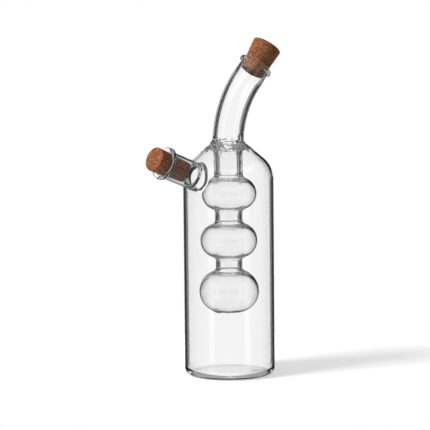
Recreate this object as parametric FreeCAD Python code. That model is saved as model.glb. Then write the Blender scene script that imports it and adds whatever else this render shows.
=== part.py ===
"""A two-in-one bottle for oil and vinegar, lampworked from clear borosilicate glass.

The oil fills the straight outer body and pours from a short side spout.  The vinegar fills a
string of three bulbs that hangs inside the body and pours from the curved neck.  All the glass
is welded into one piece.  A tapered cork closes each spout.

Millimetres.  The origin is the middle of the flat base, +Z is up, and the side spout points
along -X.  Each node is written as one STEP file in parts/.
"""
import FreeCAD, Part
import math
import os

from FreeCAD import Vector

# ---- driving dimensions: outer body --------------------------------------------------------
body_diameter = 65.0
body_wall = 1.5
base_thickness = 2.0
heel_radius = 5.0            # outside round where the wall meets the base
inner_heel_radius = 4.5
shoulder_start_height = 141.0
shoulder_round_radius = 19.0
shoulder_slope_deg = 40.0    # slope of the straight cone above the round

# ---- driving dimensions: neck and its weld ---------------------------------------------------
neck_diameter = 21.6         # at the mouth
neck_bend_gain = 0.8         # how much wider it is round the bend
neck_root_gain = 1.6         # how much wider it is at its root
neck_wall = 1.5              # at the mouth
neck_bend_wall = 2.3         # round the bend
neck_bend_drop = 2.73        # where it starts to lean, below where the shoulder meets it
neck_bend_radius = 82.0
neck_lean_deg = 35.6
neck_tip_length = 13.2       # straight length below the mouth
neck_turn_deg = -21.0        # the lean's direction, turned from +X about Z
neck_weld_radius = 6.5       # hollow round of the weld between shoulder and neck
seal_drop = 6.03             # underside of the thick weld, below where the shoulder meets the neck
seal_fillet_radius = 1.5

# ---- driving dimensions: bulb string ---------------------------------------------------------
top_tube_radius = 10.4
top_tube_wall = 2.9
link_wall = 1.85             # of the tubes between the bulbs
bulb_wall = 0.7              # round a bulb's middle
bulb_end_wall = 1.7          # at a bulb's top and bottom
bulb_inside_drop = 0.5       # how much lower the inside sits, as glass gathers at the top
bulb_side_turn_deg = 84.0    # how far the small side arc of a bulb reaches up and down
bulbs = (                    # centre's depth below the weld, radius, half height, tube radius above
    (31.2, 19.7, 12.2, top_tube_radius),
    (65.0, 20.5, 13.0, 9.7),
    (101.5, 21.5, 15.8, 9.4),
)
bulb_tip_radius = 1.0        # small flat where the last bulb was melted shut
link_fillet_radius = 3.0     # outside, where a tube runs into a bulb
bore_fillet_radius = 2.0     # the same inside

# ---- driving dimensions: side spout ----------------------------------------------------------
spout_root_rise = 2.3        # where its axis meets the body's outside, above the shoulder's start
spout_rise_deg = 19.0
spout_length = 31.0          # from the body's outside to the mouth, along the axis
spout_diameter = 19.6
spout_wall = 1.55
spout_throat_step = 1.45     # how much smaller in radius the hole through the body wall is
spout_throat_length = 4.5    # how far the bore takes to narrow to it
spout_hole_reach = 7.0       # how far that hole is cut inward from the body's outside
spout_weld_radius = 2.6

# ---- driving dimensions: rolled lips ---------------------------------------------------------
neck_lip_stand_out = 1.85    # how far the lip stands out from the tube
spout_lip_stand_out = 1.9
mouth_flare = 0.3            # how far the bore opens into the lip
mouth_flare_depth = 3.0
lip_trim = 0.1               # glass that the bore takes off the inside of the lip
tube_end_in_lip = 0.5        # where a tube ends inside its lip, as a share of the lip
lip_seam_turn_deg = 90       # keeps the seam of a lip's surface off the seam of its tube

# ---- driving dimensions: corks ---------------------------------------------------------------
cork_clearance = 0.13        # round a cork where it seats
cork_edge_round = 0.6
neck_cork_out = 16.0         # how far it stands out of the mouth
neck_cork_in = 7.8
neck_cork_seat_depth = 2.5
neck_cork_taper = 0.09       # radius lost for each millimetre of length
neck_cork_tilt_deg = 3.0     # how far it is pushed in askew, back towards upright
spout_cork_out = 8.6
spout_cork_end_gap = 5.7     # from its inner end to where the bore starts to narrow
spout_cork_seat_depth = 1.5
spout_cork_taper = 0.045

# ---- derived ---------------------------------------------------------------------------------
UP = Vector(0, 0, 1)
body_radius = body_diameter / 2
shoulder_slope = math.radians(shoulder_slope_deg)
shoulder_end_radius = body_radius - shoulder_round_radius * (1 - math.sin(shoulder_slope))
shoulder_end_height = shoulder_start_height + shoulder_round_radius * math.cos(shoulder_slope)
neck_radius = neck_diameter / 2
bend_radius = neck_radius + neck_bend_gain / 2
root_radius = neck_radius + neck_root_gain / 2
neck_bore_radius = neck_radius - neck_wall
bend_bore_radius = bend_radius - neck_bend_wall
weld_rise = (shoulder_end_radius - bend_radius) * math.tan(shoulder_slope)
weld_height = shoulder_end_height + weld_rise   # where the shoulder's cone meets the neck
seal_height = weld_height - seal_drop
neck_bend_height = weld_height - neck_bend_drop
string_bore_radius = top_tube_radius - top_tube_wall
spout_height = shoulder_start_height + spout_root_rise
spout_radius = spout_diameter / 2
spout_bore_radius = spout_radius - spout_wall
spout_throat_end = spout_weld_radius / 2 + spout_throat_length
overshoot = 2.0              # how far cutting tools run past the faces that they open
seam_tolerance = 0.3         # how near an edge lies to a tube where the two are welded


def point(radius, height):
    """A point of a profile in the XZ plane."""
    return Vector(radius, 0, height)


def direction(angle_deg):
    """A unit vector in the XZ plane, at an angle measured up from +X."""
    angle = math.radians(angle_deg)
    return Vector(math.cos(angle), 0, math.sin(angle))


def arc_edge(centre, radius, start_deg, end_deg):
    """An arc in the XZ plane from one angle to another."""
    middle_deg = (start_deg + end_deg) / 2
    start, middle, end = (
        centre + direction(angle) * radius for angle in (start_deg, middle_deg, end_deg)
    )
    return Part.Arc(start, middle, end).toShape()


def line_edge(start, end):
    return Part.LineSegment(start, end).toShape()


def revolved(edges, axis_point=Vector(0, 0, 0), axis=UP):
    """The solid that a closed profile sweeps when it turns once round an axis."""
    face = Part.Face(Part.Wire(edges))
    return face.revolve(axis_point, axis, 360)


def wall_outline(radius, floor_height, heel, shoulder_radius):
    """A body's outline from the middle of its floor to the top of its shoulder round."""
    heel_centre = point(radius - heel, floor_height + heel)
    shoulder_centre = point(radius - shoulder_radius, shoulder_start_height)
    round_end_deg = 90 - shoulder_slope_deg
    edges = [
        line_edge(point(0, floor_height), point(heel_centre.x, floor_height)),
        arc_edge(heel_centre, heel, -90, 0),
        line_edge(point(radius, heel_centre.z), point(radius, shoulder_start_height)),
        arc_edge(shoulder_centre, shoulder_radius, 0, round_end_deg),
    ]
    return edges, shoulder_centre + direction(round_end_deg) * shoulder_radius


def body_outside():
    """The body's outer form, with the shoulder's cone running on into the neck."""
    edges, round_end = wall_outline(body_radius, 0, heel_radius, shoulder_round_radius)
    top_radius = neck_radius / 2
    top_height = round_end.z + (round_end.x - top_radius) * math.tan(shoulder_slope)
    edges += [
        line_edge(round_end, point(top_radius, top_height)),
        line_edge(point(top_radius, top_height), point(0, top_height)),
        line_edge(point(0, top_height), point(0, 0)),
    ]
    body = revolved(edges)
    body.rotate(point(0, 0), UP, neck_turn_deg)  # its seam lies in the plane of the neck's bend
    return body


def inside_outline():
    """The outline of the body's inside, up to the flat underside of the weld."""
    edges, round_end = wall_outline(
        body_radius - body_wall, base_thickness, inner_heel_radius, shoulder_round_radius - body_wall
    )
    seal_radius = round_end.x - (seal_height - round_end.z) / math.tan(shoulder_slope)
    seal_edge = point(seal_radius, seal_height)
    edges.append(line_edge(round_end, seal_edge))
    return edges, seal_edge


def bulb_arcs(centre_height, radius, half_height):
    """The three arcs of a flattened bulb, each as centre, radius, first and last direction.

    They are its top cap, its side and its bottom cap, and they meet tangent to each other.
    """
    turn_deg = bulb_side_turn_deg
    turn = math.radians(turn_deg)
    share = (1 - math.sin(turn)) / math.cos(turn)
    side_radius = (half_height - share * radius) / (1 - share)
    side_centre = point(radius - side_radius, centre_height)
    cap_radius = side_centre.x / math.cos(turn) + side_radius
    cap_drop = side_centre.x * math.tan(turn)
    return (
        (point(0, centre_height - cap_drop), cap_radius, 90, turn_deg),
        (side_centre, side_radius, turn_deg, -turn_deg),
        (point(0, centre_height + cap_drop), cap_radius, -turn_deg, -90),
    )


def tube_fillet(tube_radius, fillet, arcs, sign):
    """The centre of the fillet between a tube and a bulb, and the direction in which they meet.

    sign is 1 for the tube above the bulb and -1 for the one below it.
    """
    top_cap, side, bottom_cap = arcs
    for centre, radius, _, _ in (side, top_cap if sign > 0 else bottom_cap):
        angle_deg = math.degrees(math.acos((tube_radius + fillet - centre.x) / (radius + fillet)))
        if angle_deg <= bulb_side_turn_deg:
            break
    return centre + direction(sign * angle_deg) * (radius + fillet), sign * angle_deg


def bulb_outline(arcs, start_deg, end_deg):
    """The part of a bulb's outline between two directions, from the higher to the lower."""
    edges = []
    for centre, radius, first_deg, last_deg in arcs:
        from_deg = min(first_deg, start_deg)
        to_deg = max(last_deg, end_deg)
        if from_deg > to_deg:
            edges.append(arc_edge(centre, radius, from_deg, to_deg))
    return edges


def string_outline(string, top_height, fillet):
    """The outline of bulbs and their tubes, from the top tube down to the last bulb's tip.

    Each bulb is given by its centre's height, radius, half height and the tube's radius above it.
    """
    edges = []
    place = point(string[0][3], top_height)
    for index, (centre_height, radius, half_height, tube_radius) in enumerate(string):
        arcs = bulb_arcs(centre_height, radius, half_height)
        centre, start_deg = tube_fillet(tube_radius, fillet, arcs, 1)
        edges.append(line_edge(place, point(tube_radius, centre.z)))
        edges.append(arc_edge(centre, fillet, 180, 180 + start_deg))
        if index + 1 < len(string):
            tube_radius = string[index + 1][3]
            centre, end_deg = tube_fillet(tube_radius, fillet, arcs, -1)
            edges += bulb_outline(arcs, start_deg, end_deg)
            edges.append(arc_edge(centre, fillet, 180 + end_deg, 180))
            place = point(tube_radius, centre.z)
    cap_centre, cap_radius, _, _ = arcs[2]
    tip_deg = -math.degrees(math.acos(bulb_tip_radius / cap_radius))
    edges += bulb_outline(arcs, start_deg, tip_deg)
    tip = cap_centre + direction(tip_deg) * cap_radius
    edges.append(line_edge(tip, point(0, tip.z)))
    return edges, point(0, tip.z)


def string_outside():
    """The bulbs as they measure outside."""
    return [
        (seal_height - centre_depth, radius, half_height, tube_radius)
        for centre_depth, radius, half_height, tube_radius in bulbs
    ]


def string_inside():
    """The bulbs as they measure inside, with the heavier wall of the top tube and the bulbs' ends."""
    return [
        (
            centre_height - bulb_inside_drop, radius - bulb_wall, half_height - bulb_end_wall,
            tube_radius - (link_wall if index else top_tube_wall),
        )
        for index, (centre_height, radius, half_height, tube_radius) in enumerate(string_outside())
    ]


# ---- the neck's line -------------------------------------------------------------------------
def neck_frame():
    """Where the neck bends, its mouth and that mouth's axis, and what the bend turns about."""
    turn = math.radians(neck_turn_deg)
    lean = math.radians(neck_lean_deg)
    outward = Vector(math.cos(turn), math.sin(turn), 0)
    bend_start = point(0, neck_bend_height)
    bend_centre = bend_start + outward * neck_bend_radius
    bend_axis = UP.cross(outward)
    across = outward * (neck_bend_radius * (1 - math.cos(lean)))
    bend_end = bend_start + across + UP * (neck_bend_radius * math.sin(lean))
    mouth_axis = outward * math.sin(lean) + UP * math.cos(lean)
    mouth = bend_end + mouth_axis * neck_tip_length
    return bend_start, bend_end, mouth, mouth_axis, bend_centre, bend_axis


def neck_mouth():
    """The neck's mouth and the direction that it opens in."""
    _, _, mouth, mouth_axis, _, _ = neck_frame()
    return mouth, mouth_axis


def tapered_bar(start_radius, end_radius, start, end):
    """A round bar between two places, straight or tapering."""
    along = end - start
    if abs(start_radius - end_radius) < 1e-6:
        return Part.makeCylinder(start_radius, along.Length, start, along)
    return Part.makeCone(start_radius, end_radius, along.Length, start, along)


def neck_bar(start_radius, middle_radius, mouth_radius, short_of_mouth):
    """A round bar along the neck's line, from the weld's underside to just short of the mouth."""
    bend_start, bend_end, mouth, mouth_axis, bend_centre, bend_axis = neck_frame()
    stem = tapered_bar(start_radius, middle_radius, point(0, seal_height), bend_start)
    section = Part.Face(Part.Wire([Part.makeCircle(middle_radius, bend_start, UP)]))
    section.rotate(bend_start, UP, neck_turn_deg)
    bend = section.revolve(bend_centre, bend_axis, neck_lean_deg)
    tip = tapered_bar(middle_radius, mouth_radius, bend_end, mouth - mouth_axis * short_of_mouth)
    return stem.fuse([bend, tip])


# ---- parts that repeat at both mouths --------------------------------------------------------
def lip_section(tube_radius, bore_radius, stand_out):
    """The thickness of a rolled lip, from the flared bore to its outermost line."""
    return tube_radius + stand_out - (bore_radius + mouth_flare - lip_trim)


def lip_ring(mouth, axis, tube_radius, bore_radius, stand_out):
    """The rolled lip of a mouth: a round bead whose top is level with the mouth."""
    section = lip_section(tube_radius, bore_radius, stand_out)
    ring_radius = tube_radius + stand_out - section / 2
    ring = Part.makeTorus(ring_radius, section / 2, mouth - axis * (section / 2), axis)
    ring.rotate(mouth, axis, lip_seam_turn_deg)
    return ring


def mouth_cutter(mouth, axis, bore_radius):
    """The flare of the bore inside a lip."""
    start = mouth - axis * mouth_flare_depth
    wide_radius = bore_radius + mouth_flare
    flare_length = mouth_flare_depth / 2
    flare = Part.makeCone(bore_radius, wide_radius, flare_length, start, axis)
    rest_length = mouth_flare_depth - flare_length + overshoot
    rest = Part.makeCylinder(wide_radius, rest_length, start + axis * flare_length, axis)
    return flare.fuse(rest)


def cork(mouth, axis, bore_radius, out, inside, seat_depth, taper):
    """A tapered cork that seats on the bore a little below the mouth."""
    seat_radius = bore_radius - cork_clearance
    big_radius = seat_radius + taper * (out + seat_depth)
    length = out + inside
    small_radius = big_radius - taper * length
    shape = Part.makeCone(small_radius, big_radius, length, mouth - axis * inside, axis)
    rims = [edge for edge in shape.Edges if isinstance(edge.Curve, Part.Circle)]
    return shape.makeFillet(cork_edge_round, rims)


# ---- the spout's line ------------------------------------------------------------------------
def spout_frame():
    """Where the spout's axis meets the body, its mouth and its direction."""
    rise = math.radians(spout_rise_deg)
    axis = Vector(-math.cos(rise), 0, math.sin(rise))
    root = Vector(-body_radius, 0, spout_height)
    return root, root + axis * spout_length, axis


def spout_bar(short_of_mouth):
    """The spout's outer form, from inside the body to just short of its mouth."""
    root, mouth, axis = spout_frame()
    start = root - axis * (body_radius / 2)
    return tapered_bar(
        spout_radius, spout_radius, start, mouth - axis * short_of_mouth
    )


def with_weld(body, bar, radius, start, axis, bar_radius, reach):
    """A bar joined to the body, with the weld's hollow round where they meet."""
    joined = body.fuse(bar)
    seam = [edge for edge in joined.Edges if on_bar(edge, start, axis, bar_radius, reach)]
    return joined.makeFillet(radius, seam)


def on_bar(edge, start, axis, bar_radius, reach):
    """Whether an edge goes round a bar, near its surface, within a reach of a place on its axis."""
    if edge.Degenerated:
        return False
    for place in edge.discretize(5):
        offset = place - start
        along = offset.dot(axis)
        from_axis = (offset - axis * along).Length
        if abs(from_axis - bar_radius) > seam_tolerance or abs(along) > reach:
            return False
    return True


def spout_bore():
    """The spout's bore, which narrows to the hole through the body wall."""
    root, mouth, axis = spout_frame()
    throat_radius = spout_bore_radius - spout_throat_step
    wide_end = root + axis * spout_throat_end
    narrow_end = wide_end - axis * spout_throat_length
    hole_start = root - axis * spout_hole_reach
    hole = Part.makeCylinder(throat_radius, (narrow_end - hole_start).Length, hole_start, axis)
    funnel = Part.makeCone(throat_radius, spout_bore_radius, spout_throat_length, narrow_end, axis)
    bore_end = mouth - axis * (mouth_flare_depth / 2)
    bore = Part.makeCylinder(spout_bore_radius, (bore_end - wide_end).Length, wide_end, axis)
    return hole.fuse([funnel, bore, mouth_cutter(mouth, axis, spout_bore_radius)])


# ---- nodes -----------------------------------------------------------------------------------
def oil_chamber():
    """The space between the body and the bulb string, up to the weld round the inner tube."""
    string_edges, tip = string_outline(
        string_outside(), seal_height - seal_fillet_radius, link_fillet_radius
    )
    wall_edges, seal_edge = inside_outline()
    fillet_centre = point(
        top_tube_radius + seal_fillet_radius, seal_height - seal_fillet_radius
    )
    edges = wall_edges + [
        line_edge(seal_edge, point(fillet_centre.x, seal_height)),
        arc_edge(fillet_centre, seal_fillet_radius, 90, 180),
    ]
    edges += string_edges
    edges.append(line_edge(tip, point(0, base_thickness)))
    return revolved(edges)


def vinegar_chamber():
    """The inside of the bulb string and the neck."""
    mouth, mouth_axis = neck_mouth()
    edges, tip = string_outline(string_inside(), seal_height, bore_fillet_radius)
    edges.append(line_edge(tip, point(0, seal_height)))
    edges.append(line_edge(point(0, seal_height), point(string_bore_radius, seal_height)))
    bore = neck_bar(string_bore_radius, bend_bore_radius, neck_bore_radius, mouth_flare_depth)
    return revolved(edges).fuse([bore, mouth_cutter(mouth, mouth_axis, neck_bore_radius)])


def glass_bottle():
    """All the glass, in one piece."""
    mouth, mouth_axis = neck_mouth()
    spout_root, spout_mouth, spout_axis = spout_frame()
    neck_lip = (neck_radius, neck_bore_radius, neck_lip_stand_out)
    spout_lip = (spout_radius, spout_bore_radius, spout_lip_stand_out)
    neck = neck_bar(
        root_radius, bend_radius, neck_radius,
        lip_section(*neck_lip) * tube_end_in_lip,
    )
    body = with_weld(
        body_outside(), neck, neck_weld_radius, point(0, neck_bend_height), UP,
        bend_radius, neck_weld_radius,
    )
    body = with_weld(
        body, spout_bar(lip_section(*spout_lip) * tube_end_in_lip), spout_weld_radius,
        spout_root, spout_axis, spout_radius, spout_length / 2,
    )
    outside = body.fuse([
        lip_ring(mouth, mouth_axis, *neck_lip),
        lip_ring(spout_mouth, spout_axis, *spout_lip),
    ])
    return outside.cut(oil_chamber()).cut(vinegar_chamber()).cut(spout_bore())


def neck_cork():
    _, _, mouth, axis, _, bend_axis = neck_frame()
    shape = cork(
        mouth, axis, neck_bore_radius, neck_cork_out, neck_cork_in, neck_cork_seat_depth,
        neck_cork_taper,
    )
    shape.rotate(mouth - axis * neck_cork_seat_depth, bend_axis, -neck_cork_tilt_deg)
    return shape


def spout_cork():
    _, mouth, axis = spout_frame()
    spout_cork_in = spout_length - spout_throat_end - spout_cork_end_gap
    return cork(
        mouth, axis, spout_bore_radius, spout_cork_out, spout_cork_in, spout_cork_seat_depth,
        spout_cork_taper,
    )


def main():
    os.makedirs("parts", exist_ok=True)
    nodes = {
        "glass_bottle": glass_bottle(),
        "neck_cork": neck_cork(),
        "spout_cork": spout_cork(),
    }
    for name, shape in nodes.items():
        solids = shape.Solids
        print(name, "solids", len(solids), "valid", shape.isValid(), "mm3", round(shape.Volume, 1))
        if len(solids) != 1:
            raise ValueError(name + " isn't one solid")
        solids[0].exportStep("parts/" + name + ".step")


main()
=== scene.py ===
"""Looks of the two-in-one oil and vinegar bottle: lampworked clear glass and two pressed corks.

The glass is one closed surface.  Rings along the bottle's line, which bends in the neck, make the
outside with the vinegar chamber, and the oil chamber.  Rings round the spout's axis join the two.
Shape sizes are in millimetres, as in the part's own source; Blender's objects are in metres.
"""

import math

import bmesh
import bpy
import numpy as np
from mathutils import Matrix, Vector, noise


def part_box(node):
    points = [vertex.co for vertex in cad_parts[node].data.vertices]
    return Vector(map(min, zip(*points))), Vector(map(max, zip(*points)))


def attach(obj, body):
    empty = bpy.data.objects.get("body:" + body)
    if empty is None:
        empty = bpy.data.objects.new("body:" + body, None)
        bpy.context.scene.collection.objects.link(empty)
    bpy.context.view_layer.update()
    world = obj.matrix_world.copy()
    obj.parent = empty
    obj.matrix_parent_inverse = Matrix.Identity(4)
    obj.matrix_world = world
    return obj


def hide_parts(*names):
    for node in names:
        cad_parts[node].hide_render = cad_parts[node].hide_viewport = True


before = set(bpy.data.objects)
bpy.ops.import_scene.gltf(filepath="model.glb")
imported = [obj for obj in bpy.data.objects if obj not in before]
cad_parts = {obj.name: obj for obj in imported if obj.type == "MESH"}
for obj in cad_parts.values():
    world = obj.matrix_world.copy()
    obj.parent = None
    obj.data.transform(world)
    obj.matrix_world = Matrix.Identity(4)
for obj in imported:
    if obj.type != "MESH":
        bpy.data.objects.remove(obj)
scene = bpy.context.scene
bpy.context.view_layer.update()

MM = 0.001
glass_low, glass_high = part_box("glass_bottle")

# ---- sizes of the outer body, mm
body_radius = (glass_high.y - glass_low.y) / MM / 2
body_wall = 1.5
base_thickness = 2.0
heel_radius = 5.0  # outside round where the wall meets the base
inner_heel_radius = 4.5
shoulder_start_height = 141.0
shoulder_round_radius = 19.0
shoulder_slope_deg = 40.0  # of the cone above the round

# ---- sizes of the neck and its weld
neck_radius = 10.8  # at the mouth
bend_radius = 11.2  # the neck's own radius round its bend and down to the weld
neck_wall = 1.5  # at the mouth
neck_bend_wall = 2.3  # round the bend
neck_bend_drop = 2.73  # where it starts to lean, below where the shoulder meets it
neck_bend_radius = 82.0  # of the neck's line
neck_lean_deg = 35.6
neck_tip_length = 13.2  # straight length below the mouth
neck_turn_deg = -21.0  # the lean's direction, turned from +X about Z
neck_weld_radius = 6.5  # hollow round of the weld between shoulder and neck
seal_drop = 6.03  # underside of the thick weld, below where the shoulder meets the neck
seal_fillet_radius = 1.5
seal_corner_radius = 1.2

# ---- sizes of the bulb string
top_tube_radius = 10.4
top_tube_wall = 2.9
link_wall = 1.85  # of the tubes between the bulbs
bulb_wall = 0.7  # round a bulb's middle
bulb_end_wall = 1.7  # at a bulb's top and bottom
bulb_inside_drop = 0.5  # how much lower the inside sits, as glass gathers at the top
last_bulb_inside_drop = 0.95
bulb_side_turn_deg = 84.0  # how far a bulb's side arc reaches up and down
bulbs = (  # centre's depth below the weld, radius, half height, tube radius above
    (31.2, 19.7, 12.2, top_tube_radius),
    (65.0, 20.5, 13.0, 9.7),
    (101.5, 21.5, 15.8, 9.4),
)
link_fillet_radius = 3.0  # outside, where a tube runs into a bulb
bore_fillet_radius = 2.0  # the same inside

# ---- sizes of the side spout
spout_root_rise = 2.3  # where its axis meets the body's outside, above the shoulder's start
spout_rise_deg = 19.0
spout_length = 31.0  # from the body's outside to the mouth
spout_radius = 9.8
spout_wall = 1.55
spout_throat_step = 1.45  # how much less radius the hole through the wall has
spout_throat_end = 5.8  # where the bore starts to narrow to it, along the axis
spout_throat_start = 1.3  # where it is narrow
throat_soft_end = 0.6  # how far past those two places the narrowing eases out
throat_soft_start = 0.4
spout_weld_reach = 2.5  # how far the weld's hollow round runs out over the body and up the tube
throat_edge_reach = 1.0  # the same for the fire-polished edge inside the body
weld_handle_share = 0.62  # how full those rounds are

# ---- sizes of the rolled lips
neck_lip_stand_out = 1.85  # how far the lip stands out from the tube
spout_lip_stand_out = 1.9
mouth_flare = 0.3  # how far the bore opens into the lip
mouth_flare_depth = 3.0
flare_points = ((0.85, 0.6), (0.15, 0.85), (0.0, 1.15))  # share of the flare, share of its depth
lip_trim = 0.1  # glass that the bore takes off the inside of the lip
lip_fillet_radius = 0.5

# ---- sizes of the corks
cork_clearance = 0.13  # round a cork where it seats
cork_edge_round = 0.6
neck_cork_out = 16.0  # how far it stands out of the mouth
neck_cork_in = 7.8
neck_cork_seat_depth = 2.5
neck_cork_taper = 0.09  # radius lost for each millimetre of length
neck_cork_tilt_deg = 3.0  # pushed in askew, towards upright
spout_cork_out = 8.6
spout_cork_end_gap = 5.7  # from its inner end to where the bore starts to narrow
spout_cork_seat_depth = 1.5
spout_cork_taper = 0.045

# ---- unevenness of the hand-worked glass
# A noise is its scale, how far it moves the glass, and where in the noise it starts.
# A zone is where an effect is nothing and where it is full.
string_zone = (27.0, 23.5)  # radius
string_top_zone = (0.0, 8.0)  # depth below the weld
first_bulb_shift = 0.5  # how far the top bulb hangs off the axis
first_bulb_reach = 12.0
swell_noise = (17.0, 0.16, 3.7)
swell_zone = (2.0, 8.0)  # radius
end_noise = (2.6, 0.3, 6.3)  # ripples where the bulbs run into their tubes
end_reach = 3.0
end_zones = ((17.0, 13.0), (5.0, 8.0))  # radius
scar_offset = 9.0  # the mark where the last bulb was melted shut
scar_width = 2.6
scar_height = 2.5
scar_size = 0.7
collar_noise = (2.0, 0.5, 9.1)  # ripples of the neck's weld, below its crease
collar_fine_noise = (1.0, 0.25, 1.3)
collar_start_zone = (157.5, 160.5)  # place along the bottle's line
collar_end_zone = (2.2, 0.6)  # above the crease
collar_radius_zones = ((7.5, 9.0), (21.0, 17.0))
crease_place = 167.6  # of the slanting crease round the weld
crease_lean = 1.7
crease_width = 0.8
crease_depth = 0.55
lip_noise = (4.5, 0.35, 5.9)
lip_zone = (4.5, 3.0)  # depth below the mouth
lip_radius_zone = (0.0, 0.9)  # outside the neck's radius
lip_top_depth = 2.0  # from here up the lumps also rise
lip_top_share = 0.6
spout_weld_bead = 0.22  # how far the bead round the spout's weld stands up
weld_bead_power = 2.5  # how narrow it is
weld_bead_noise = (5.0, 0.35, 2.9)

# ---- mesh density
around = 144  # columns round the bottle
hole_columns = 26  # columns and rings that the spout's patch takes the place of
hole_rings = 26
wall_below_shoulder = 16.0  # wall that the spout's patch covers below the shoulder round
patch_run = 36.6  # how far the patch runs, up the wall, round and cone
inner_patch_share = 0.93  # the same inside, as a share of it
outer_patch_steps = 6
inner_patch_steps = 8
spout_weld_rings = 17
throat_edge_rings = 6
throat_steps = 8
arc_step_deg = 7.5
weld_step_deg = 5
corner_step_deg = 10
fillet_step_deg = 12
bead_step_deg = 15
lip_fillet_step_deg = 20
bulb_point_gap = 1.3
base_gap = 5.0  # gaps between rings
wall_gap = 9.0
cone_gap = 0.8
seal_gap = 0.6
string_gap = 1.5
tube_gap = 2.2
bend_bore_gap = 2.4
collar_bore_gap = 1.0
fine_above_weld = 4.0  # rings stay close up to here above its centre
flat_above_weld = 1.5  # the first flat ring of the spout, past the end of its weld
cork_gap = 0.36
cork_columns = 180
tangent_step = 0.2
halvings = 50  # steps of the search for where a line meets the body
tiny = 1e-6

# ---- colours, grain and painted shade of the corks
black = (0.0, 0.0, 0.0)
white = (1.0, 1.0, 1.0)
cork_tones = (  # place on the scale from dark to pale granules, colour
    (0.0, (0.20, 0.075, 0.036)),
    (0.35, (0.34, 0.135, 0.062)),
    (0.75, (0.41, 0.168, 0.076)),
    (1.0, (0.50, 0.228, 0.110)),
)
cork_seam = (0.085, 0.026, 0.012)
cork_pit = (0.035, 0.012, 0.007)
cork_roughness = 0.85
cork_specular = 0.25
granule_size = 1.6
seam_width = 0.09  # between granules, as a share of their size
cork_depth = 0.16  # how deep ordinary roughness goes; the shares are of this
seam_share = 0.45
chip_share = 0.22
chip_spread = 7.31  # takes each granule to a cell of its own
pit_size = 1.1
pit_level = 0.42  # noise above this is a pit
pit_share = 4.56
fine_size = 0.55
fine_share = 0.25
cork_noise_start = Vector((11.3, 4.1, 7.7))
grain_size = 0.8
grain_shade_levels = (0.38, 0.6)  # painted shade: the grain's noise, which is also the bump's height, is fully shaded below these and unshaded above
grain_look = {"Detail": 6.0, "Roughness": 0.7}
fleck_size = 1.05
fleck_levels = (0.585, 0.64)
fleck_look = {"Detail": 2.0, "Roughness": 0.55}
cork_bump_strength = 0.5
cork_bump_height = 0.2

# ---- camera, metres and degrees
view_turn = math.radians(46.99)  # azimuth that the camera looks along
camera_aside = -0.0098
camera_distance = 0.9356
camera_height = 0.1653
camera_pitch_deg = 3.08  # downwards
camera_roll_deg = -0.54
camera_lens = 108.84
camera_sensor = 36
camera_clip_start = 0.01

# ---- studio, metres and degrees; levels have 1 as white
# A pair of angles is where something starts and where it is full; a second pair is its levels there.
room_turn_deg = 1.0  # how far the room is turned from the way the camera looks
low_window = {"edge_deg": 10.5, "edge_level": 1.25, "border_deg": 20, "border_level": 0.45, "dark": 0.05}
high_window = {"edge_deg": 18, "edge_level": 1.0, "border_deg": 30, "border_level": 0.1, "dark": 0.03}
window_middle_deg = 5  # from here out a window's level goes over to its edge's
window_fade_deg = 1
high_from_deg = (-2, 0)  # elevation, from the low window to the high one
opening_spacing_deg = 45  # of the other openings round the room
opening_deg = (11, 8.5)  # from an opening's middle
openings_from_deg = (28, 31)  # from the window's middle
ceiling_deg = (26, 38)  # elevation
ceiling_level = 0.6
ceiling_mirrored = 0.5
below_deg = (-14, -24)  # elevation
below_level = 0.15
below_mirrored = 0.35
low_mirror = ((4, 7), (0.6, 0.04))
high_mirror_level = 0.8
high_mirror_from_deg = (-0.6, 0.4)  # elevation
dark_card_side = (0.01, 0.06)  # sine of the angle to the right
dark_card_deg = (1, 4)  # elevation
side_walls = ((52, 70), (0.0, 0.25))
back_panels_at_deg = 132
back_panels = ((14, 4), (0.0, 0.8))  # from a panel's middle
key_card_at_deg = 38  # elevation
key_card = ((14, 6), (0.0, 1.2))  # from the card's middle
key_card_from_deg = (95, 110)
diffuse_level = 0.33  # light on the corks and the floor
key_size = 0.6
key_power = 20
key_aside = -0.9
key_along = -0.5
key_height = 0.95
key_target = (0, 0, 0.12)
floor_radius = 0.2
floor_drop = 0.0003
floor_segments = 96
floor_shade = 0.8
floor_roughness = 0.9
floor_glow = 0.45
glass_ior = 1.47
glass_bounces = 32
glossy_bounces = 12
mix_sockets = {"FLOAT": (2, 3, 0), "RGBA": (6, 7, 2)}  # a mix node's two inputs and its output

# ---- derived
shoulder_slope = math.radians(shoulder_slope_deg)
shoulder_centre_radius = body_radius - shoulder_round_radius
round_end_deg = 90 - shoulder_slope_deg
round_end = math.radians(round_end_deg)
neck_bore_radius = neck_radius - neck_wall
string_bore_radius = top_tube_radius - top_tube_wall
bend_bore_radius = bend_radius - neck_bend_wall
cone_start_radius = shoulder_centre_radius + shoulder_round_radius * math.cos(round_end)
cone_start_height = shoulder_start_height + shoulder_round_radius * math.sin(round_end)
weld_height = cone_start_height + (cone_start_radius - bend_radius) * math.tan(shoulder_slope)
seal_height = weld_height - seal_drop
neck_turn = math.radians(neck_turn_deg)
neck_lean = math.radians(neck_lean_deg)
neck_outward = np.array([math.cos(neck_turn), math.sin(neck_turn), 0.0])
neck_side = np.array([-math.sin(neck_turn), math.cos(neck_turn), 0.0])
bend_start = weld_height - neck_bend_drop
bend_end = bend_start + neck_bend_radius * neck_lean
mouth_place = bend_end + neck_tip_length
spout_bore_radius = spout_radius - spout_wall
spout_rise = math.radians(spout_rise_deg)
spout_axis = np.array([-math.cos(spout_rise), 0.0, math.sin(spout_rise)])
across_spout = np.array([0.0, -1.0, 0.0])
over_spout = np.array([math.sin(spout_rise), 0.0, math.cos(spout_rise)])
spout_root = np.array([-body_radius, 0.0, shoulder_start_height + spout_root_rise])
view_across = np.array([math.sin(view_turn), -math.cos(view_turn), 0])
view_along = np.array([math.cos(view_turn), math.sin(view_turn), 0])
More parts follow.
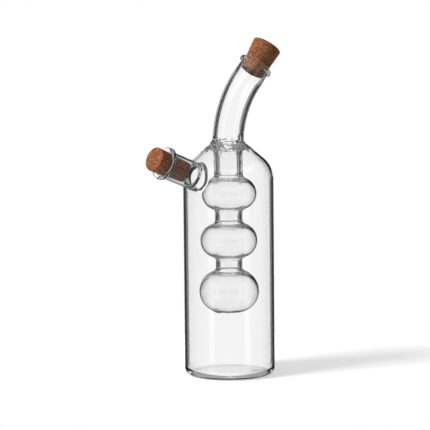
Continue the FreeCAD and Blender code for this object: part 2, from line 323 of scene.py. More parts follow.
up = np.array([0.0, 0.0, 1.0])
column_angles = np.radians(np.arange(around) * 360 / around)
hole_start = around // 2 - hole_columns // 2


# ---- profiles: lists of (radius, height) pairs, each run without its first point
def on_circle(centre, radius, angle_deg):
    angle = math.radians(angle_deg)
    return (centre[0] + radius * math.cos(angle), centre[1] + radius * math.sin(angle))


def arc(centre, radius, start_deg, end_deg, step_deg=arc_step_deg):
    """Points along an arc, after its start."""
    count = max(2, math.ceil(abs(end_deg - start_deg) / step_deg))
    return [on_circle(centre, radius, angle) for angle in np.linspace(start_deg, end_deg, count + 1)[1:]]


def line(start, end, gap):
    """Points along a line, after its start."""
    count = max(1, math.ceil(math.dist(start, end) / gap))
    shares = np.linspace(0, 1, count + 1)[1:]
    return [tuple(np.array(start) * (1 - share) + np.array(end) * share) for share in shares]


def bulb_arcs(centre_height, radius, half_height):
    """The top cap, side and bottom cap of a flattened bulb: centre, radius, first and last angle."""
    turn_deg = bulb_side_turn_deg
    turn = math.radians(turn_deg)
    share = (1 - math.sin(turn)) / math.cos(turn)
    side_radius = (half_height - share * radius) / (1 - share)
    side_centre = (radius - side_radius, centre_height)
    cap_radius = side_centre[0] / math.cos(turn) + side_radius
    cap_drop = side_centre[0] * math.tan(turn)
    return (
        ((0, centre_height - cap_drop), cap_radius, 90, turn_deg),
        (side_centre, side_radius, turn_deg, -turn_deg),
        ((0, centre_height + cap_drop), cap_radius, -turn_deg, -90),
    )


def tube_fillet(tube_radius, fillet, arcs, sign):
    """The centre of the fillet between a tube and a bulb, and the angle where they meet.

    sign is 1 for the tube above the bulb and -1 for the one below it.
    """
    top_cap, side, bottom_cap = arcs
    for centre, radius, _, _ in (side, top_cap if sign > 0 else bottom_cap):
        angle_deg = math.degrees(math.acos((tube_radius + fillet - centre[0]) / (radius + fillet)))
        if angle_deg <= bulb_side_turn_deg:
            break
    return on_circle(centre, radius + fillet, sign * angle_deg), sign * angle_deg


def bulb_outline(arcs, start_deg, end_deg):
    """The part of a bulb's outline between two angles, from the higher to the lower."""
    points = []
    for centre, radius, first_deg, last_deg in arcs:
        from_deg = min(first_deg, start_deg)
        to_deg = max(last_deg, end_deg)
        if from_deg > to_deg:
            points += arc(centre, radius, from_deg, to_deg, math.degrees(bulb_point_gap / radius))
    return points


def string_profile(string, place, fillet):
    """The bulbs and their tubes, from a place on the top tube down to the axis at the tip."""
    points = []
    for index, (centre_height, radius, half_height, tube_radius) in enumerate(string):
        arcs = bulb_arcs(centre_height, radius, half_height)
        centre, start_deg = tube_fillet(tube_radius, fillet, arcs, 1)
        points += line(place, (tube_radius, centre[1]), string_gap)
        points += arc(centre, fillet, 180, 180 + start_deg, fillet_step_deg)
        if index + 1 == len(string):
            points += bulb_outline(arcs, start_deg, -90)
            break
        _, _, _, tube_radius = string[index + 1]
        centre, end_deg = tube_fillet(tube_radius, fillet, arcs, -1)
        points += bulb_outline(arcs, start_deg, end_deg)
        points += arc(centre, fillet, 180 + end_deg, 180, fillet_step_deg)
        place = (tube_radius, centre[1])
    return points


def string_outside():
    """The bulbs as they measure outside: centre's height, radius, half height, tube's radius."""
    return [
        (seal_height - centre_depth, radius, half_height, tube_radius)
        for centre_depth, radius, half_height, tube_radius in bulbs
    ]


def string_inside():
    """The same inside."""
    links = len(bulbs) - 1
    drops = [bulb_inside_drop] * links + [last_bulb_inside_drop]
    walls = [top_tube_wall] + [link_wall] * links
    return [
        (centre_height - drop, radius - bulb_wall, half_height - bulb_end_wall, tube_radius - wall)
        for (centre_height, radius, half_height, tube_radius), drop, wall
        in zip(string_outside(), drops, walls)
    ]


class Wall:
    """The body's wall, shoulder round and cone as one curve, some way in from the outside.

    A run is a length along the curve, counted from where the spout's patch starts.
    """

    def __init__(self, inset, patch_share):
        self.radius = body_radius - inset
        self.round_radius = shoulder_round_radius - inset
        self.round_run = self.round_radius * round_end
        self.centre = (shoulder_centre_radius, shoulder_start_height)
        self.round_end = on_circle(self.centre, self.round_radius, round_end_deg)
        self.patch_run = patch_run * patch_share

    def at(self, run):
        """The radius and height at a run."""
        past_wall = run - wall_below_shoulder
        if past_wall <= 0:
            return (self.radius, shoulder_start_height + past_wall)
        if past_wall <= self.round_run:
            return on_circle(self.centre, self.round_radius, math.degrees(past_wall / self.round_radius))
        past_round = past_wall - self.round_run
        return (
            self.round_end[0] - past_round * math.cos(shoulder_slope),
            self.round_end[1] + past_round * math.sin(shoulder_slope),
        )

    def run_at(self, height):
        """The run at a height."""
        rise = height - shoulder_start_height
        if rise <= 0:
            return wall_below_shoulder + rise
        if height <= self.round_end[1]:
            return wall_below_shoulder + self.round_radius * math.asin(rise / self.round_radius)
        past_round = (height - self.round_end[1]) / math.sin(shoulder_slope)
        return wall_below_shoulder + self.round_run + past_round

    def radius_at(self, height):
        """The radius at heights (an array)."""
        rise = height - shoulder_start_height
        round_rise = self.round_radius * math.sin(round_end)
        on_round = np.sqrt(self.round_radius ** 2 - np.clip(rise, 0, round_rise) ** 2)
        past_round = np.maximum(rise - round_rise, 0) / math.tan(shoulder_slope)
        return np.where(rise <= 0, self.radius, shoulder_centre_radius + on_round - past_round)


outer_wall = Wall(0, 1)
inner_wall = Wall(body_wall, inner_patch_share)


def wall_profile(wall, floor_height, round_radius):
    """From the middle of a floor round its heel and up a wall to where the spout's patch ends.

    Also gives the ring where the patch starts; the middle of the floor isn't a ring.
    """
    points = [(0.0, floor_height)]
    heel = (wall.radius - round_radius, floor_height + round_radius)
    points += line(points[-1], (heel[0], floor_height), base_gap)
    points += arc(heel, round_radius, -90, 0)
    points += line(points[-1], wall.at(0), wall_gap)
    patch_ring = len(points) - 2
    points += [wall.at(wall.patch_run * (ring + 1) / hole_rings) for ring in range(hole_rings)]
    return points, patch_ring


def lip_profile(tube_radius, bore_radius, stand_out, mouth):
    """From the tube's outside just below the lip, round the lip, to the bore below its flare."""
    flare_radius = bore_radius + mouth_flare
    bead_radius = (tube_radius + stand_out - (flare_radius - lip_trim)) / 2
    bead = (tube_radius + stand_out - bead_radius, mouth - bead_radius)
    fillet_radius = tube_radius + lip_fillet_radius
    drop = math.sqrt((bead_radius + lip_fillet_radius) ** 2 - (fillet_radius - bead[0]) ** 2)
    fillet = (fillet_radius, bead[1] - drop)
    bead_start_deg = math.degrees(math.atan2(-drop, fillet_radius - bead[0]))
    bead_end_deg = math.degrees(math.acos((flare_radius - bead[0]) / bead_radius))
    points = [(tube_radius, fillet[1])]
    points += arc(fillet, lip_fillet_radius, 180, 180 + bead_start_deg, lip_fillet_step_deg)
    points += arc(bead, bead_radius, bead_start_deg, bead_end_deg, bead_step_deg)
    return points + [
        (bore_radius + mouth_flare * share, mouth - mouth_flare_depth * depth)
        for share, depth in flare_points
    ]


def outside_profile():
    """From the middle of the base up the outside, over the lip and down inside to the last bulb."""
    points, patch_ring = wall_profile(outer_wall, 0.0, heel_radius)
    weld_radius = bend_radius + neck_weld_radius
    foot_radius = weld_radius - neck_weld_radius * math.cos(round_end)
    foot_height = cone_start_height + (cone_start_radius - foot_radius) * math.tan(shoulder_slope)
    weld = (weld_radius, foot_height + neck_weld_radius * math.sin(round_end))
    points += line(points[-1], (foot_radius, foot_height), cone_gap)
    points += arc(weld, neck_weld_radius, 180 + round_end_deg, 180, weld_step_deg)
    points += line(points[-1], (bend_radius, weld[1] + fine_above_weld), cone_gap)
    points += line(points[-1], (bend_radius, bend_end), tube_gap)
    lip = lip_profile(neck_radius, neck_bore_radius, neck_lip_stand_out, mouth_place)
    points += line(points[-1], lip[0], tube_gap)
    points += lip[1:]
    points += line(points[-1], (bend_bore_radius, bend_end), tube_gap)
    points += line(points[-1], (bend_bore_radius, bend_start), bend_bore_gap)
    points += line(points[-1], (string_bore_radius, seal_height), collar_bore_gap)
    points += string_profile(string_inside(), points[-1], bore_fillet_radius)
    return points, patch_ring


def oil_profile():
    """From the middle of the floor up the wall's inside, under the weld and down the bulb string."""
    points, patch_ring = wall_profile(inner_wall, base_thickness, inner_heel_radius)
    corner = inner_wall.at(inner_wall.run_at(seal_height))
    reach = seal_corner_radius * math.tan(shoulder_slope / 2)
    before = (corner[0] + reach * math.cos(shoulder_slope), corner[1] - reach * math.sin(shoulder_slope))
    points += line(points[-1], before, cone_gap)
    centre = (corner[0] - reach, seal_height - seal_corner_radius)
    points += arc(centre, seal_corner_radius, round_end_deg, 90, corner_step_deg)
    fillet = (top_tube_radius + seal_fillet_radius, seal_height - seal_fillet_radius)
    points += line(points[-1], (fillet[0], seal_height), seal_gap)
    points += arc(fillet, seal_fillet_radius, 90, 180, fillet_step_deg)
    points += string_profile(string_outside(), points[-1], link_fillet_radius)
    return points, patch_ring


# ---- the bottle's line
def on_bottle(radius, place, angle):
    """Points at radii and angles round the bottle's line, at places along it (arrays, mm)."""
    lean = np.clip((place - bend_start) / neck_bend_radius, 0, neck_lean)[..., None]
    beyond = np.maximum(place - bend_end, 0)[..., None]
    below = np.minimum(place, bend_start)[..., None]
    along = neck_outward * np.sin(lean) + up * np.cos(lean)
    across = neck_outward * np.cos(lean) - up * np.sin(lean)
    centre = (
        up * below
        + neck_outward * neck_bend_radius * (1 - np.cos(lean))
        + up * neck_bend_radius * np.sin(lean)
        + along * beyond
    )
    turn = angle[..., None] - neck_turn
    return centre + radius[..., None] * (across * np.cos(turn) + neck_side * np.sin(turn))


def neck_mouth():
    """The middle of the neck's mouth, the direction it opens in, and what its bend turns about."""
    mouth = Vector(on_bottle(np.zeros(1), np.array([mouth_place]), np.zeros(1))[0])
    axis = Vector(neck_outward) * math.sin(neck_lean) + Vector(up) * math.cos(neck_lean)
    return mouth, axis, Vector(up).cross(Vector(neck_outward))


# ---- unevenness of hand-worked glass
def fade(value, none_at, full_at):
    """From 0 at one value to 1 at another, smoothly."""
    share = np.clip((value - none_at) / (full_at - none_at), 0, 1)
    return share * share * (3 - 2 * share)


def hump(distance, reach):
    """1 at no distance, and next to nothing at twice the reach."""
    return np.exp(-(distance / reach) ** 2)


def uneven(points, scale, size, start):
    """Smooth noise, up to about a size either way, at points given in mm."""
    flat = points.reshape(-1, 3) / scale + start
    return size * np.array([noise.noise(Vector(place)) for place in flat]).reshape(points.shape[:-1])


def unit(vectors):
    """The same directions with a length of 1, apart from those with no length."""
    return vectors / np.maximum(np.linalg.norm(vectors, axis=-1, keepdims=True), tiny)


def worked_string(points, radius, place, outward):
    """The string of bulbs: its top bulb hangs askew, its walls swell and its ends are rippled."""
    hanging = fade(radius, *string_zone) * fade(seal_height - place, *string_top_zone)
    first_depth, _, _, _ = bulbs[0]
    askew = first_bulb_shift * hanging * hump(place - seal_height + first_depth, first_bulb_reach)
    points = points + askew[..., None] * view_across
    swell = hanging * fade(radius, *swell_zone) * uneven(points, *swell_noise)
    points = points + swell[..., None] * outward

    at_ends = np.zeros_like(place)
    for depth, _, half_height, _ in bulbs:
        for end in (half_height, -half_height):
            at_ends += hump(place - (seal_height - depth + end), end_reach)
    for zone in end_zones:
        at_ends *= fade(radius, *zone)
    last_depth, _, last_half_height, _ = bulbs[-1]
    scar = (
        hump(points @ view_across + scar_offset, scar_width)
        * hump(points @ view_along + scar_offset / 2, scar_width)
        * hump(points[..., 2] - (seal_height - last_depth - last_half_height), scar_height)
    )
    lift = hanging * at_ends * uneven(points, *end_noise) - scar_size * scar
    return points + lift[..., None] * up


def worked_collar(points, radius, place, outward):
    """The weld round the neck's root: rippled up to one slanting crease."""
    above_crease = place - crease_place - crease_lean * (outward @ view_across)
    worked = fade(place, *collar_start_zone) * fade(above_crease, *collar_end_zone)
    for zone in collar_radius_zones:
        worked = worked * fade(radius, *zone)
    gather = uneven(points, *collar_noise) + uneven(points, *collar_fine_noise)
    gather -= crease_depth * hump(above_crease, crease_width)
    return points + (gather * worked)[..., None] * outward


def worked_lip(points, radius, place):
    """The neck's lip: lumpy on its bead, but not in the bore."""
    depth = mouth_place - place
    lumps = fade(depth, *lip_zone) * fade(radius - neck_radius, *lip_radius_zone)
    lumps = lumps * uneven(points, *lip_noise)
    middle = on_bottle(np.zeros_like(place), place, np.zeros_like(place))
    _, along, _ = neck_mouth()
    rise = lip_top_share * lumps * (depth < lip_top_depth)
    return points + lumps[..., None] * unit(points - middle) + rise[..., None] * np.array(along)


def hand_worked(points, radius, place):
    """Points of the bottle's rings, moved a little where the glass was worked in the flame."""
    outward = unit(points * (1 - up))
    points = worked_string(points, radius, place, outward)
    points = worked_collar(points, radius, place, outward)
    return worked_lip(points, radius, place)


# ---- mesh building
def in_hole(ring, column):
    """Whether a cell is where the spout's patch goes. The ring is counted from the hole's start."""
    return 0 <= ring < hole_rings and hole_start <= column < hole_start + hole_columns


class Mesh:
    """Collects vertices and faces of one surface."""

    def __init__(self):
        self.points = []
        self.faces = []

    def add(self, points):
        """Adds points and returns their numbers in the same layout."""
        points = np.asarray(points, float)
        start = len(self.points)
        flat = points.reshape(-1, 3)
        self.points.extend(map(tuple, flat))
        return np.arange(start, start + len(flat)).reshape(points.shape[:-1])

    def grid(self, numbers, patch_ring=None):
        """Faces between rings, each closed on itself, round the hole that starts at a ring."""
        rings = np.asarray(numbers).tolist()
        for ring, (near, far) in enumerate(zip(rings, rings[1:])):
            for column in range(len(near)):
                if patch_ring is None or not in_hole(ring - patch_ring, column):
                    after = (column + 1) % len(near)
                    self.faces.append((near[column], near[after], far[after], far[column]))

    def pole(self, number, ring):
        """Faces between a ring and one point."""
        ring = ring.tolist()
        for column, after in zip(ring, ring[1:] + ring[:1]):
            self.faces.append((int(number), column, after))


def add_object(name, data):
    thing = bpy.data.objects.new(name, data)
    scene.collection.objects.link(thing)
    return thing


def finish_mesh(name, mesh):
    """The mesh as an object, in metres, with its faces turned outwards."""
    data = bpy.data.meshes.new(name)
    data.from_pydata([(x * MM, y * MM, z * MM) for x, y, z in mesh.points], [], mesh.faces)
    work = bmesh.new()
    work.from_mesh(data)
    bmesh.ops.recalc_face_normals(work, faces=work.faces)
    work.to_mesh(data)
    work.free()
    data.shade_smooth()
    return add_object(name, data)


# ---- nodes
class Graph:
    """Adds nodes to a node tree. A value is a plain one or another node's output."""

    def __init__(self, tree):
        self.nodes = tree.nodes
        self.links = tree.links

    def feed(self, socket, value):
        if isinstance(value, bpy.types.NodeSocket):
            self.links.new(value, socket)
        else:
            socket.default_value = value

    def fill(self, node, values):
        for name, value in values.items():
            self.feed(node.inputs[name], value)

    def add(self, kind, values=None):
        node = self.nodes.new("ShaderNode" + kind)
        self.fill(node, values or {})
        return node

    def calculate(self, operation, *values):
        node = self.add("Math")
        node.operation = operation
        for socket, value in zip(node.inputs, values):
            self.feed(socket, value)
        return node.outputs[0]

    def mix(self, kind, factor, first, second):
        """The first value where the factor is 0, the second where it is 1."""
        node = self.add("Mix")
        node.data_type = kind
        first_input, second_input, output = mix_sockets[kind]
        self.feed(node.inputs[0], factor)
        self.feed(node.inputs[first_input], first)
        self.feed(node.inputs[second_input], second)
        return node.outputs[output]

    def ramp(self, value, ends, levels=(0.0, 1.0)):
        """From one level to another between two ends, smoothly."""
        node = self.add("MapRange")
        node.interpolation_type = "SMOOTHSTEP"
        sockets = ("Value", "From Min", "From Max", "To Min", "To Max")
        self.fill(node, dict(zip(sockets, (value, *ends, *levels))))
        return node.outputs["Result"]

    def ramp_deg(self, value, ends_deg, levels=(0.0, 1.0)):
        return self.ramp(value, [math.radians(end) for end in ends_deg], levels)

    def colours(self, value, *stops):
        """A colour for each value, from stops of a place and a colour."""
        node = self.add("ValToRGB", {"Fac": value})
        elements = node.color_ramp.elements
        while len(elements) < len(stops):
            elements.new(0.5)
        for element, (place, colour) in zip(elements, stops):
            element.position = place
            element.color = (*colour, 1)
        return node.outputs["Color"]


def new_material(name, values):
    """A material, its graph, and its shader with these values."""
    material = bpy.data.materials.new(name)
    material.use_nodes = True
    graph = Graph(material.node_tree)
    shader = graph.nodes["Principled BSDF"]
    graph.fill(shader, values)
    return material, graph, shader


# ---- glass
def swept(mesh, profile, patch_ring):
    """Adds the rings of a profile that starts and ends on the axis. Returns the rings' numbers."""
    rings = np.array(profile[1:-1])
    radius = np.repeat(rings[:, :1], around, axis=1)
    place = np.repeat(rings[:, 1:], around, axis=1)
    angle = np.repeat(column_angles[None, :], len(rings), axis=0)
    numbers = mesh.add(hand_worked(on_bottle(radius, place, angle), radius, place))
    mesh.grid(numbers, patch_ring)
    first, last = mesh.add([[0, 0, profile[0][1]], [0, 0, profile[-1][1]]])
    mesh.pole(first, numbers[0])
    mesh.pole(last, numbers[-1][::-1])
    return numbers


def hole_edge(numbers, patch_ring):
    """The grid numbers round the hole, and each one's ring there and column, in the same order."""
    left, right = hole_start, hole_start + hole_columns
    cells = [(0, column) for column in range(left, right)]
    cells += [(ring, right) for ring in range(hole_rings)]
    cells += [(hole_rings, column) for column in range(right, left, -1)]
    cells += [(ring, left) for ring in range(hole_rings, 0, -1)]
    return [int(numbers[patch_ring + ring, column]) for ring, column in cells], cells


def beside_spout(angle):
    """Directions away from the spout's axis, at angles round it."""
    return np.cos(angle)[..., None] * across_spout + np.sin(angle)[..., None] * over_spout


def spout_onto_body(distance, angle, wall):
    """Where lines beside the spout's axis meet a wall, and how far along the axis that is."""
    start = spout_root + distance * beside_spout(angle)
    low = np.full(angle.shape, -body_radius / 2)
    high = np.full(angle.shape, body_radius / 2)
    for _ in range(halvings):
        middle = (low + high) / 2
        place = start + middle[..., None] * spout_axis
        outside = np.hypot(place[..., 0], place[..., 1]) > wall.radius_at(place[..., 2])
        high = np.where(outside, middle, high)
        low = np.where(outside, low, middle)
    return start + low[..., None] * spout_axis, low


def bezier(start, start_handle, end_handle, end, count):
    """Rings of a curve between two rings, both of them included."""
    rings = []
    for share in np.linspace(0, 1, count):
        rest = 1 - share
        rings.append(
            rest ** 3 * start + 3 * rest ** 2 * share * start_handle
            + 3 * rest * share ** 2 * end_handle + share ** 3 * end
        )
    return rings


def weld_rings(tube_radius, reach, angle, wall, count):
    """Rings from a wall round a hollow to a tube on the spout's axis, and how far out they end."""
    foot, _ = spout_onto_body(tube_radius + reach, angle, wall)
    nearer, _ = spout_onto_body(tube_radius + reach - tangent_step, angle, wall)
    _, seam_along = spout_onto_body(tube_radius, angle, wall)
    end_along = seam_along + reach
    end = spout_root + tube_radius * beside_spout(angle) + end_along[:, None] * spout_axis
    handle = reach * weld_handle_share
    rings = bezier(foot, foot + unit(nearer - foot) * handle, end - handle * spout_axis, end, count)
    return rings, end_along


def patch_rings(foot, edge_cells, wall, steps):
    """Rings on a wall between the spout's weld and the edge of its hole in the grid."""
    foot_angle = np.arctan2(foot[:, 1], foot[:, 0]) % (2 * math.pi)
    foot_run = np.array([wall.run_at(height) for height in foot[:, 2]])
    edge_angle = np.array([column * 2 * math.pi / around for _, column in edge_cells])
    edge_run = np.array([ring * wall.patch_run / hole_rings for ring, _ in edge_cells])
    rings = []
    for step in range(1, steps):
        share = step / steps
        angle = foot_angle * (1 - share) + edge_angle * share
        run = foot_run * (1 - share) + edge_run * share
        radius, height = np.array([wall.at(length) for length in run]).T
        rings.append(np.column_stack([radius * np.cos(angle), radius * np.sin(angle), height]))
    return rings


def beaded(weld, angle):
    """The spout's weld with its bead, which stands up between the body and the tube."""
    corner = (beside_spout(angle) + spout_axis) / math.sqrt(2)
    height = spout_weld_bead * (1 + uneven(weld[0], *weld_bead_noise))[:, None]
    return [
        ring + math.sin(math.pi * share) ** weld_bead_power * height * corner
        for ring, share in zip(weld, np.linspace(0, 1, len(weld)))
    ]


def spout_outline():
    """The spout's lip and bore, from the outside of its lip to where the bore is narrow."""
    lip = lip_profile(spout_radius, spout_bore_radius, spout_lip_stand_out, spout_length)
    wide_end = spout_throat_end + throat_soft_end
    narrow_start = spout_throat_start - throat_soft_start
    outline = lip + line(lip[-1], (spout_bore_radius, wide_end), tube_gap)
    for share in np.linspace(0, 1, throat_steps + 1)[1:]:
        radius = spout_bore_radius - spout_throat_step * fade(share, 0, 1)
        outline.append((radius, wide_end + (narrow_start - wide_end) * share))
    return outline


def spout_rings(outer_cells, inner_cells):
    """Rings from the hole's edge outside, over the spout and down its bore, to the edge inside."""
    cell_width = 2 * math.pi * body_radius / around
    angle = np.array([
        math.atan2(ring * patch_run / hole_rings - patch_run / 2, (column - around / 2) * cell_width)
        for ring, column in outer_cells
    ])
    weld, weld_end = weld_rings(spout_radius, spout_weld_reach, angle, outer_wall, spout_weld_rings)
    weld = beaded(weld, angle)
    throat_radius = spout_bore_radius - spout_throat_step
    edge, _ = weld_rings(throat_radius, throat_edge_reach, angle, inner_wall, throat_edge_rings)
    outline = spout_outline()
    tube_start = (spout_radius, float(weld_end.max()) + flat_above_weld)
    outline = [tube_start] + line(tube_start, outline[0], tube_gap) + outline[1:]
    tube = [
        spout_root + radius * beside_spout(angle) + place * spout_axis
        for radius, place in outline
    ]
    outer_patch = patch_rings(weld[0], outer_cells, outer_wall, outer_patch_steps)
    inner_patch = patch_rings(edge[0], inner_cells, inner_wall, inner_patch_steps)
    return outer_patch[::-1] + weld + tube + edge[::-1] + inner_patch


def build_glass():
    """The outside with the vinegar chamber, the oil chamber, and the spout that joins them."""
    mesh = Mesh()
    outside, outer_patch_ring = outside_profile()
    outer = swept(mesh, outside, outer_patch_ring)
    oil, inner_patch_ring = oil_profile()
    inner = swept(mesh, oil, inner_patch_ring)
    outer_edge, outer_cells = hole_edge(outer, outer_patch_ring)
    inner_edge, inner_cells = hole_edge(inner, inner_patch_ring)
    rings = [mesh.add(ring) for ring in spout_rings(outer_cells, inner_cells)]
    mesh.grid([outer_edge, *rings, inner_edge])
    return mesh


def glass_material():
    """Plain clear glass."""
    values = {"Base Color": (*white, 1), "Roughness": 0, "IOR": glass_ior, "Transmission Weight": 1}
    material, _, _ = new_material("clear_glass", values)
    return material


glass = finish_mesh("bottle_glass", build_glass())
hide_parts("glass_bottle")
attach(glass, "root")
glass.data.materials.append(glass_material())


# ---- camera
def build_camera():
    data = bpy.data.cameras.new("camera")
    data.lens = camera_lens
    data.sensor_width = camera_sensor
    data.clip_start = camera_clip_start
    camera = add_object("camera", data)
    camera.location = camera_aside * view_across - camera_distance * view_along + camera_height * up
    camera.rotation_euler = (
        Matrix.Rotation(view_turn - math.pi / 2, 3, "Z")
        @ Matrix.Rotation(math.radians(90 - camera_pitch_deg), 3, "X")
        @ Matrix.Rotation(math.radians(camera_roll_deg), 3, "Z")
    ).to_euler()
    scene.camera = camera


build_camera()


# ---- corks
def cork_profile(big_radius, length, taper):
    """From the middle of the outer face, over its edge and down the side, to the inner face."""
    small_radius = big_radius - taper * length
    lean_deg = math.degrees(math.atan(taper))
    edge = cork_edge_round
    top = (big_radius - edge, length - edge)
    bottom = (small_radius - edge * (1 - taper), edge)
    points = line((0, length), (top[0], length), cork_gap)
    points += arc(top, edge, 90, -lean_deg, bead_step_deg)
    points += line(points[-1], on_circle(bottom, edge, -lean_deg), cork_gap)
    points += arc(bottom, edge, -lean_deg, -90, bead_step_deg)
    points += line(points[-1], (0, 0), cork_gap)
    return points


def granule_depth(place):
    """How far the cork's surface lies below its full size at a place: seams, chips and pits."""
    place = place + cork_noise_start
    distances, centres = noise.voronoi(place / granule_size)
    seam = float(hump(distances[1] - distances[0], seam_width))
    chip = 0.5 + 0.5 * noise.cell(centres[0] * chip_spread)
    pit = max(0.0, noise.noise(place / pit_size) - pit_level)
    fine = 0.5 + 0.5 * noise.noise(place / fine_size)
    return cork_depth * (seam_share * seam + chip_share * chip + pit_share * pit + fine_share * fine)


def build_cork(name, node, big_radius, length, taper, outer_face, axis):
    """A pressed cork, built on the centre of its outer face and the direction that faces out."""
    profile = cork_profile(big_radius, length, taper)
    axis = Vector(axis).normalized()
    across = axis.orthogonal().normalized()
    side = axis.cross(across)
    foot = Vector(outer_face) - axis * length
    rings = []
    for index, (radius, height) in enumerate(profile[:-1]):
        before = profile[index - 1] if index else (0, length)
        after = profile[index + 1]
        run = Vector((after[0] - before[0], after[1] - before[1])).normalized()
        ring = []
        for column in range(cork_columns):
            angle = 2 * math.pi * column / cork_columns
            outward = across * math.cos(angle) + side * math.sin(angle)
            place = foot + outward * radius + axis * height
            normal = outward * -run.y + axis * run.x
            ring.append(place - normal * granule_depth(place))
        rings.append(ring)
    mesh = Mesh()
    numbers = mesh.add(rings)
    mesh.grid(numbers)
    top = foot + axis * length
    first, last = mesh.add([top - axis * granule_depth(top), foot + axis * granule_depth(foot)])
    mesh.pole(first, numbers[0])
    mesh.pole(last, numbers[-1][::-1])
    piece = finish_mesh(name, mesh)
    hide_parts(node)
    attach(piece, "root")
    return piece


def cork_material():
    """Pressed granules in several browns, with dark seams, pits and small flecks, and painted shade
    where the grain's bump lies low.
    """
    values = {"Roughness": cork_roughness, "Specular IOR Level": cork_specular}
    material, graph, shader = new_material("cork", values)
    coords = graph.add("TexCoord")

    def texture(kind, size, look):
        place = {"Vector": coords.outputs["Object"], "Scale": 1 / (size * MM)}
        return graph.add(kind, {**place, **look})

    granules = texture("TexVoronoi", granule_size, {})
    tone = graph.add("SeparateColor", {"Color": granules.outputs["Color"]})
    colour = graph.colours(tone.outputs[0], *cork_tones)

    grain = texture("TexNoise", grain_size, grain_look)
    # Painted shade: darker tones where the grain's noise is low, which is also where its bump lies low.
    grain_fully_shaded, grain_unshaded = grain_shade_levels
    clear = graph.colours(grain.outputs["Fac"], (grain_fully_shaded, black), (grain_unshaded, white))
    (_, dark), (_, mid), _, _ = cork_tones
    shaded = graph.mix("RGBA", clear, (*dark, 1), (*mid, 1))
    colour = graph.mix("RGBA", clear, shaded, colour)

    seams = texture("TexVoronoi", granule_size, {})
    seams.feature = "DISTANCE_TO_EDGE"
    seam = graph.colours(seams.outputs["Distance"], (0.0, white), (seam_width, black))
    colour = graph.mix("RGBA", seam, colour, (*cork_seam, 1))

    flecks = texture("TexNoise", fleck_size, fleck_look)
    fleck_none, fleck_full = fleck_levels
    fleck = graph.colours(flecks.outputs["Fac"], (fleck_none, black), (fleck_full, white))
    colour = graph.mix("RGBA", fleck, colour, (*cork_pit, 1))
    bump = graph.add("Bump", {
        "Strength": cork_bump_strength, "Distance": cork_bump_height * MM,
        "Height": grain.outputs["Fac"],
    })
    graph.fill(shader, {"Base Color": colour, "Normal": bump.outputs["Normal"]})
    return material


def build_corks():
    """The neck's cork, which is pushed in askew, and the spout's."""
    mouth, axis, bend_axis = neck_mouth()
    tilt = Matrix.Rotation(math.radians(-neck_cork_tilt_deg), 3, bend_axis)
    pivot = mouth - axis * neck_cork_seat_depth
    face = pivot + tilt @ (axis * (neck_cork_seat_depth + neck_cork_out))
    seat_radius = neck_bore_radius - cork_clearance
    neck_cork = build_cork(
        "cork_in_neck", "neck_cork",
        seat_radius + neck_cork_taper * (neck_cork_out + neck_cork_seat_depth),
        neck_cork_out + neck_cork_in, neck_cork_taper, face, tilt @ axis,
    )
    spout_cork_in = spout_length - spout_throat_end - spout_cork_end_gap
    seat_radius = spout_bore_radius - cork_clearance
    spout_cork = build_cork(
        "cork_in_spout", "spout_cork",
        seat_radius + spout_cork_taper * (spout_cork_out + spout_cork_seat_depth),
        spout_cork_out + spout_cork_in, spout_cork_taper,
        Vector(spout_root + spout_axis * spout_length) + Vector(spout_axis) * spout_cork_out, spout_axis,
    )
    material = cork_material()
    for piece in (neck_cork, spout_cork):
        piece.data.materials.append(material)
    return neck_cork, spout_cork


corks = build_corks()


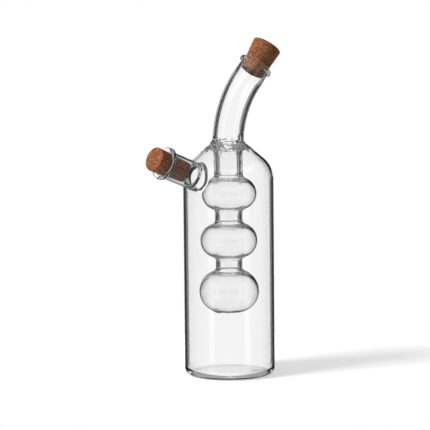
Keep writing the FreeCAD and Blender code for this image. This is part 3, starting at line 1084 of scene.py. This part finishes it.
# ---- studio
def build_world():
    """A room with a window straight behind, more openings round it, and dark cards between them.

    What glass shows by refraction and what it mirrors are two rooms, as a studio's cards would be
    placed to serve each of them.
    """
    world = bpy.data.worlds.new("studio")
    scene.world = world
    world.use_nodes = True
    graph = Graph(world.node_tree)
    graph.nodes.clear()
    calculate, ramp_deg = graph.calculate, graph.ramp_deg

    def brightest(level, *others):
        for other in others:
            level = calculate("MAXIMUM", level, other)
        return level

    def window(edge_deg, edge_level, border_deg, border_level, dark):
        """A bright opening straight behind, with a dim border beside it and dark walls."""
        level = ramp_deg(aside, (window_middle_deg, edge_deg), (1.0, edge_level))
        edge = ramp_deg(aside, (edge_deg, edge_deg + window_fade_deg), (edge_level, border_level))
        border = ramp_deg(aside, (border_deg, border_deg + window_fade_deg), (edge_level, dark))
        return calculate("MINIMUM", calculate("MINIMUM", level, edge), border)

    def away(angle, middle_deg):
        return calculate("ABSOLUTE", calculate("SUBTRACT", angle, math.radians(middle_deg)))

    coords = graph.add("TexCoord")
    east, north, upward = graph.add("SeparateXYZ", {"Vector": coords.outputs["Generated"]}).outputs
    azimuth = calculate("ARCTAN2", north, east)
    turned = calculate("SUBTRACT", azimuth, view_turn - math.radians(room_turn_deg))
    aside = calculate("ARCCOSINE", calculate("COSINE", turned))   # angle from the window's middle
    elevation = calculate("ARCSINE", upward)
    ceiling = ramp_deg(elevation, ceiling_deg)
    below = ramp_deg(elevation, below_deg)
    high = window(**high_window)

    through = graph.mix("FLOAT", ramp_deg(elevation, high_from_deg), window(**low_window), high)
    from_opening = calculate("PINGPONG", aside, math.radians(opening_spacing_deg / 2))
    openings = ramp_deg(from_opening, opening_deg)
    through = brightest(
        through,
        calculate("MULTIPLY", openings, ramp_deg(aside, openings_from_deg)),
        calculate("MULTIPLY", ceiling, ceiling_level),
        calculate("MULTIPLY", below, below_level),
    )

    to_the_right = calculate("MULTIPLY", calculate("SINE", turned), -1.0)
    dark_card = calculate(
        "MULTIPLY", graph.ramp(to_the_right, dark_card_side), ramp_deg(elevation, dark_card_deg)
    )
    high_mirrored = calculate("MINIMUM", high, high_mirror_level)
    high_mirrored = calculate("MULTIPLY", high_mirrored, calculate("SUBTRACT", 1.0, dark_card))
    low_mirrored = ramp_deg(aside, *low_mirror)
    key = ramp_deg(away(elevation, key_card_at_deg), *key_card)
    mirrored = graph.mix(
        "FLOAT", ramp_deg(elevation, high_mirror_from_deg), low_mirrored, high_mirrored
    )
    mirrored = brightest(
        mirrored,
        ramp_deg(aside, *side_walls),
        ramp_deg(away(aside, back_panels_at_deg), *back_panels),
        calculate("MULTIPLY", ceiling, ceiling_mirrored),
        calculate("MULTIPLY", key, ramp_deg(aside, key_card_from_deg)),
        calculate("MULTIPLY", below, below_mirrored),
    )

    path = graph.add("LightPath")
    was_mirrored = calculate("MINIMUM", path.outputs["Glossy Depth"], 1.0)
    level = graph.mix("FLOAT", was_mirrored, through, mirrored)
    level = graph.mix("FLOAT", path.outputs["Is Diffuse Ray"], level, diffuse_level)
    level = graph.mix("FLOAT", path.outputs["Is Camera Ray"], level, 1.0)
    background = graph.add("Background", {"Color": (*white, 1), "Strength": level})
    graph.add("OutputWorld", {"Surface": background.outputs[0]})


def build_floor():
    """A plain pale disc that shows shadows. Its glow makes it white, but lights nothing."""
    data = bpy.data.meshes.new("floor")
    work = bmesh.new()
    bmesh.ops.create_circle(work, cap_ends=True, segments=floor_segments, radius=floor_radius)
    work.to_mesh(data)
    work.free()
    floor = add_object("floor", data)
    floor.location.z = -floor_drop
    floor.visible_transmission = False
    floor.visible_glossy = False
    material, graph, shader = new_material("floor", {
        "Base Color": (floor_shade, floor_shade, floor_shade, 1),
        "Roughness": floor_roughness, "Emission Color": (*white, 1),
    })
    path = graph.add("LightPath")
    not_lighting = graph.calculate("SUBTRACT", 1.0, path.outputs["Is Diffuse Ray"])
    glow = graph.calculate("MULTIPLY", not_lighting, floor_glow)
    graph.fill(shader, {"Emission Strength": glow})
    data.materials.append(material)
    return floor


def group(name, things):
    collection = bpy.data.collections.new(name)
    for thing in things:
        collection.objects.link(thing)
    return collection


def key_lamp(name, lit):
    """A soft lamp from the camera's upper left that lights only some objects."""
    data = bpy.data.lights.new(name, "AREA")
    data.shape = "DISK"
    data.size = key_size
    data.energy = key_power
    lamp = add_object(name, data)
    lamp.location = key_aside * view_across + key_along * view_along + key_height * up
    lamp.rotation_euler = (lamp.location - Vector(key_target)).to_track_quat("Z", "Y").to_euler()
    lamp.visible_camera = False
    lamp.visible_glossy = False
    lamp.visible_transmission = False
    lamp.light_linking.receiver_collection = group(name + "_lights", lit)
    return lamp


build_world()
floor = build_floor()
key_lamp("floor_key", [floor])
cork_key = key_lamp("cork_key", corks)
cork_key.light_linking.blocker_collection = group("cork_key_blockers", corks)  # not the clear glass

scene.view_settings.view_transform = "Standard"
scene.cycles.max_bounces = glass_bounces
scene.cycles.transmission_bounces = glass_bounces
scene.cycles.glossy_bounces = glossy_bounces
